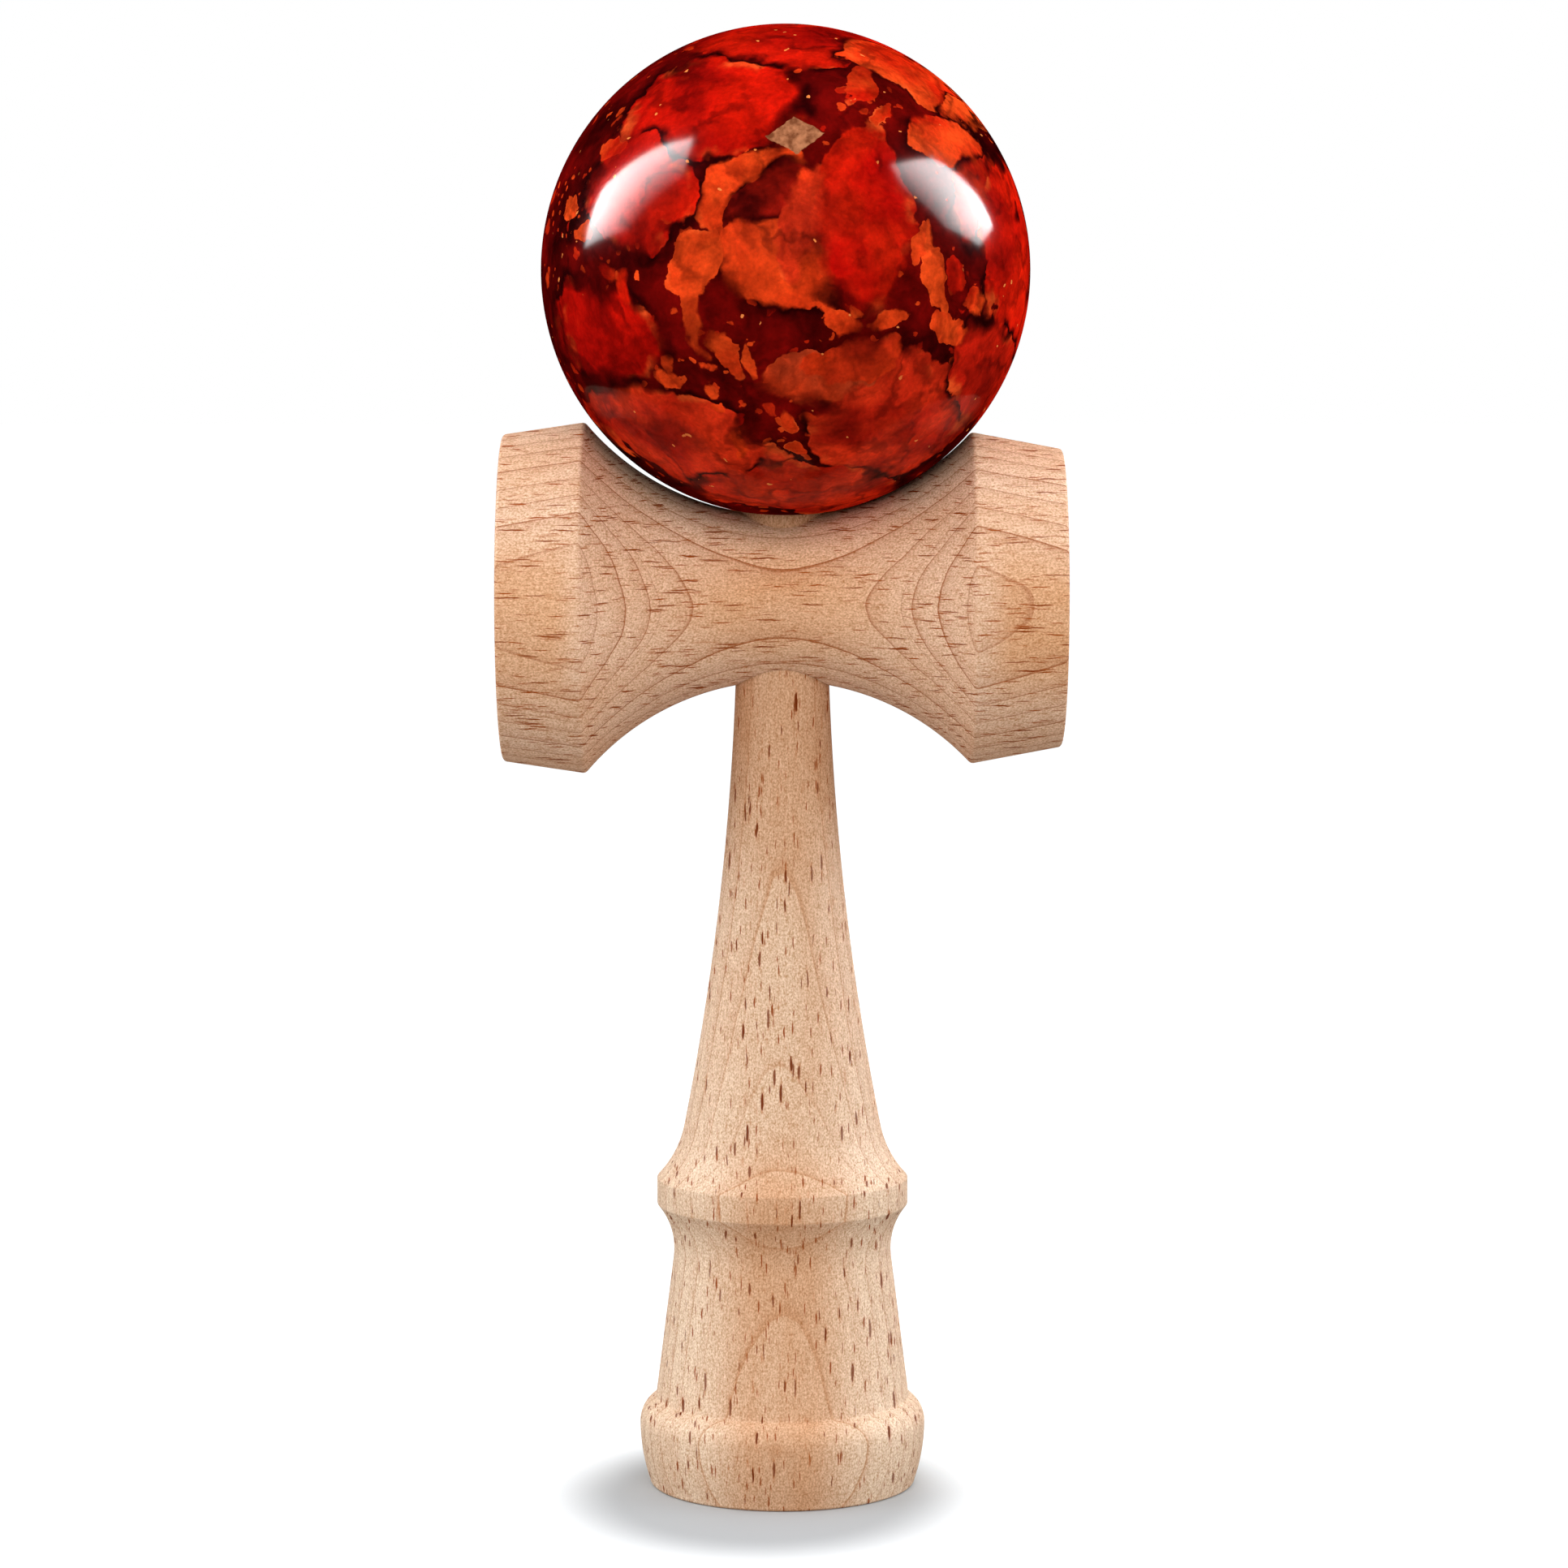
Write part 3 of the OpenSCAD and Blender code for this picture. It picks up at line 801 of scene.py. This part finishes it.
taper = BORE_REACH * SHAFT_TAPER
shaft_drill = bmesh.new()
draw(shaft_drill, (0, -BORE_REACH), (
    (SHAFT_HOLE_R + taper, -BORE_REACH), (SHAFT_HOLE_R - taper, BORE_REACH), (0, BORE_REACH)))
turn(shaft_drill, UPRIGHT, steps=96)
bmesh.ops.translate(shaft_drill, vec=(0, axis_y, cross_z), verts=shaft_drill.verts)
drill(crosspiece, shaft_drill)
drill(crosspiece, string_drill(HOLE_START, (
    (STRING_R, HOLE_START), (STRING_R, HOLE_EASE_START), (KNOT_R, HOLE_END), (0, HOLE_END))))
settle(crosspiece, "crosspiece", "cup_crosspiece")

# %% [markdown]
# The ball is bored from below for the spike, with a pocket for the bead and a string hole to
# the top. Holes cut into a sphere would leave uneven faces in its gloss, so the template runs
# round the outside from the string hole to the mouth and back up the bore. The ball is turned
# upright at the origin and then leaned about the axis that the CAD model gives.

# %% Turn the ball
BALL_R, BORE_R, POCKET_R = 30, 7, 4.3
BORE_END, POCKET_END = 12.287, 18.587
MOUTH_EASE, TOP_EASE, SMALL_EASE = 0.6, 0.4, 0.15

mouth_r, top_r = BORE_R + MOUTH_EASE, STRING_R + TOP_EASE
top = math.sqrt(BALL_R ** 2 - top_r ** 2)
mouth = math.sqrt(BALL_R ** 2 - mouth_r ** 2)
sweep = math.degrees(math.atan2(-mouth, mouth_r) - math.atan2(top, top_r))
bm = bmesh.new()
draw(bm, (top_r, top), (
    (0, 0, sweep), (BORE_R, MOUTH_EASE - mouth), (BORE_R, BORE_END), (POCKET_R, BORE_END),
    (POCKET_R, POCKET_END), (STRING_R, POCKET_END), (STRING_R, top - TOP_EASE), (top_r, top)))
turn(bm, UPRIGHT, steps=192)
ease_edges(bm, SMALL_EASE)
ball_axis = Vector(ball_joint["axis"]).normalized()
lean = Vector(UPRIGHT).rotation_difference(ball_axis).to_matrix().to_4x4()
lean = Matrix.Translation(ball_centre) @ lean
bmesh.ops.transform(bm, matrix=lean, verts=bm.verts)
ball = new_piece("lacquered_ball", bm, marbled_lacquer)
settle(ball, "ball", "ball")

# %% [markdown]
# The bead sits in the pocket above the bore, and the string that comes in from the ball's top is
# knotted under it. It is a small barrel with a hole, so its template is one arc between two flat
# ends. It leans with the ball.

# %% Turn the bead
BEAD_HOLE_R, BEAD_END_R, BEAD_HALF = 1.2, 2.8, 3
BEAD_ARC_CENTRE, BEAD_ARC = -0.35, 87.2
BEAD_RINGS = (-8.0, -5.0, -2.5, 0.0, 2.0, 4.0, 8.0)
BEAD_RAYS = (((3.0, 0.6, 6.0), 0.22, 0.3, 0.6, (120, 70, 44)),)

bead_wood = beech(
    "bead_wood", "Z", ball_centre, flat_layers, front_stripe_and_shade, BEAD_RINGS, 1, BEAD_RAYS,
    ((220, 182, 138), (198, 152, 106), (210, 168, 124)))
bm = bmesh.new()
draw(bm, (BEAD_HOLE_R, -BEAD_HALF), (
    (BEAD_END_R, -BEAD_HALF), (BEAD_ARC_CENTRE, 0, BEAD_ARC), (BEAD_HOLE_R, BEAD_HALF),
    (BEAD_HOLE_R, -BEAD_HALF)))
turn(bm, UPRIGHT, steps=48)
ease_edges(bm, SMALL_EASE)
bead_up = Matrix.Translation((0, 0, (BORE_END + BEAD_HALF) / MM))
bmesh.ops.transform(bm, matrix=lean @ bead_up, verts=bm.verts)
bead = new_piece("barrel_bead", bm, bead_wood)
settle(bead, "bead", "string_bead")

# %% [markdown]
# The floor is white and keeps the toy's shadow close to its base. It shows white to the camera
# and to reflections, and away from the toy it glows for them so that it stays white to the
# horizon. The glow starts on an ellipse set a little left of and in front of the base, so its edge
# is a painted outline of the shadow; inside it the floor shows the rendered shadow. To all other
# light it is a darker grey, so that it doesn't light the wood from below.

# %% Floor
FLOOR_R, FLOOR_HIDDEN, FLOOR_SEEN = 6.0, grey(0.4), (0.53, 0.56, 0.585, 1.0)
SHADOW_CENTRE, SHADOW_START, SHADOW_END = (-0.0027, -0.0045, 0), 0.0166, 0.0297
SHADOW_SQUEEZE, FLOOR_GLOW = (1.0, 0.8, 1.0), 0.62


def seen(tree):
    path = Wire.node(tree, "ShaderNodeLightPath", out="Is Camera Ray")
    return path.most(path.other("Is Glossy Ray")).most(path.other("Is Transmission Ray"))


floor_finish, tree, place = empty_finish("floor_white")
squeezed = vector(tree, "MULTIPLY", place, SHADOW_SQUEEZE)
# Painted shadow outline: the glow stays off inside this shifted, squeezed ellipse round the base.
far = vector(tree, "DISTANCE", squeezed, SHADOW_CENTRE, "Value").rise(SHADOW_START, SHADOW_END)
shown = seen(tree)
white = Wire.node(tree, "ShaderNodeBsdfDiffuse", {},
                  {"Color": blend(tree, shown, FLOOR_HIDDEN, FLOOR_SEEN)})
glow = Wire.node(tree, "ShaderNodeEmission", {}, {"Strength": shown * far * FLOOR_GLOW})
show(tree, Wire.node(tree, "ShaderNodeAddShader", {}, {0: white, 1: glow}))

bm = bmesh.new()
bmesh.ops.create_circle(bm, cap_ends=True, segments=96, radius=FLOOR_R)
floor = new_piece("floor", bm, floor_finish)
print("floor is", 2 * FLOOR_R, "m across")

# %% [markdown]
# The sky lights the toy softly from all round. Where the camera or a reflection sees it, its
# strength is 1, which is white. As a light it is weaker, so that pale wood doesn't wash out.

# %% Sky
SKY_LIGHT = 0.73

world = bpy.data.worlds.new("studio")
scene.world = world
world.use_nodes = True
tree = world.node_tree
tree.nodes.clear()
strength = SKY_LIGHT + (1 - SKY_LIGHT) * seen(tree)
sky = Wire.node(tree, "ShaderNodeBackground", {}, {"Color": grey(1.0), "Strength": strength})
show(tree, sky, "ShaderNodeOutputWorld")
print("sky lights with a strength of", SKY_LIGHT)

# %% [markdown]
# Four softboxes give the toy its form: one at each side, a broad one above and a stronger one in
# front. They don't show in the lacquer, which gets panels of its own. A row holds the place in
# metres, the width, the height and the power.

# %% Softboxes
SOFTBOXES = (
    ("softbox_left", (-0.62, -0.15, 0.46), 0.5, 0.6, 1.5),
    ("softbox_right", (0.64, -0.1, 0.46), 0.5, 0.6, 1.2),
    ("softbox_above", (0.1, -0.05, 1.1), 0.7, 0.7, 1.2),
    ("softbox_front", (0.0, -0.9, 0.55), 0.9, 0.6, 3.3))
AIM = Vector((0, 0, 0.1))

for name, place, wide, tall, power in SOFTBOXES:
    data = bpy.data.lights.new(name, "AREA")
    data.shape, data.size, data.size_y, data.energy = "RECTANGLE", wide, tall, power
    lamp = bpy.data.objects.new(name, data)
    lamp.location = place
    lamp.rotation_euler = (AIM - lamp.location).to_track_quat("-Z", "Y").to_euler()
    lamp.visible_camera = lamp.visible_glossy = False
    scene.collection.objects.link(lamp)
print(len(SOFTBOXES), "softboxes")

# %% [markdown]
# A glossy ball mirrors the whole room, and a white room would veil its colours. So a photographer
# hangs dark cloth round it and lets two panels show. This cloth is a drum round the set that
# reflections alone meet, so it takes no light from the toy.

# %% Dark cloth for the gloss
CLOTH_R, CLOTH_TALL, CLOTH_FOOT = 1.8, 3.0, 0.0005


def for_gloss_alone(name, bm, finish):
    piece = new_piece(name, bm, finish)
    for ray in ("camera", "diffuse", "transmission", "volume_scatter", "shadow"):
        setattr(piece, "visible_" + ray, False)


cloth_finish, tree, shader, place = new_finish("dark_cloth")
shader.inputs["Base Color"].default_value = paint(24, 20, 20)
shader.inputs["Specular IOR Level"].default_value = 0.0
bm = bmesh.new()
bmesh.ops.create_cone(bm, cap_ends=True, segments=96, radius1=CLOTH_R, radius2=CLOTH_R,
                      depth=CLOTH_TALL)
bmesh.ops.translate(bm, vec=(0, 0, CLOTH_TALL / 2 + CLOTH_FOOT), verts=bm.verts)
for_gloss_alone("dark_cloth", bm, cloth_finish)
print("cloth hangs", CLOTH_R, "m from the middle")

# %% [markdown]
# Each panel is cut to the shape that its reflection has on the ball, a slanting leaf, and its
# glow fades towards its inner and its lower edge. A softbox could show in the gloss instead, but
# it is a rectangle that glows evenly. A panel's corners are directions from the ball's centre.

# %% Panels for the gloss
PANEL_AWAY, PANEL_FADE, PANEL_SLANT = 0.8, 0.45, 0.66


def panel(name, start, strength, corners):
    finish, tree, place = empty_finish(name)
    way = vector(tree, "SCALE", vector(tree, "SUBTRACT", place, ball_centre), 1 / PANEL_AWAY)
    way = axes_of(tree, way)
    outward = way.other("Y") + way.other("Z") * PANEL_SLANT
    fade = outward.rise(start, start + PANEL_FADE) * way.other("Z").rise(0.02, 0.3)
    show(tree, Wire.node(tree, "ShaderNodeEmission", {}, {"Strength": fade * strength}))
    bm = bmesh.new()
    bm.faces.new([bm.verts.new(ball_centre + Vector(corner).normalized() * PANEL_AWAY)
                  for corner in corners])
    bmesh.ops.triangulate(bm, faces=bm.faces)
    for_gloss_alone(name, bm, finish)


panel("panel_left", -0.06, 136.0, (
    (-0.949, 0.297, 0.111), (-0.882, 0.265, 0.388), (-0.81, 0.089, 0.58), (-0.715, -0.034, 0.699),
    (-0.564, -0.20, 0.801), (-0.669, -0.415, 0.616), (-0.954, -0.183, 0.237)))
panel("panel_right", -0.12, 116.0, (
    (0.672, -0.319, 0.667), (0.795, 0.07, 0.60), (0.877, 0.348, 0.331), (0.883, 0.425, 0.197),
    (0.972, 0.199, 0.127), (0.955, -0.149, 0.258), (0.762, -0.371, 0.53)))
print("panels hang", PANEL_AWAY, "m from the ball")

# %% [markdown]
# The last cell keeps the colours as written.

# %% Finish
scene.view_settings.view_transform = "Standard"
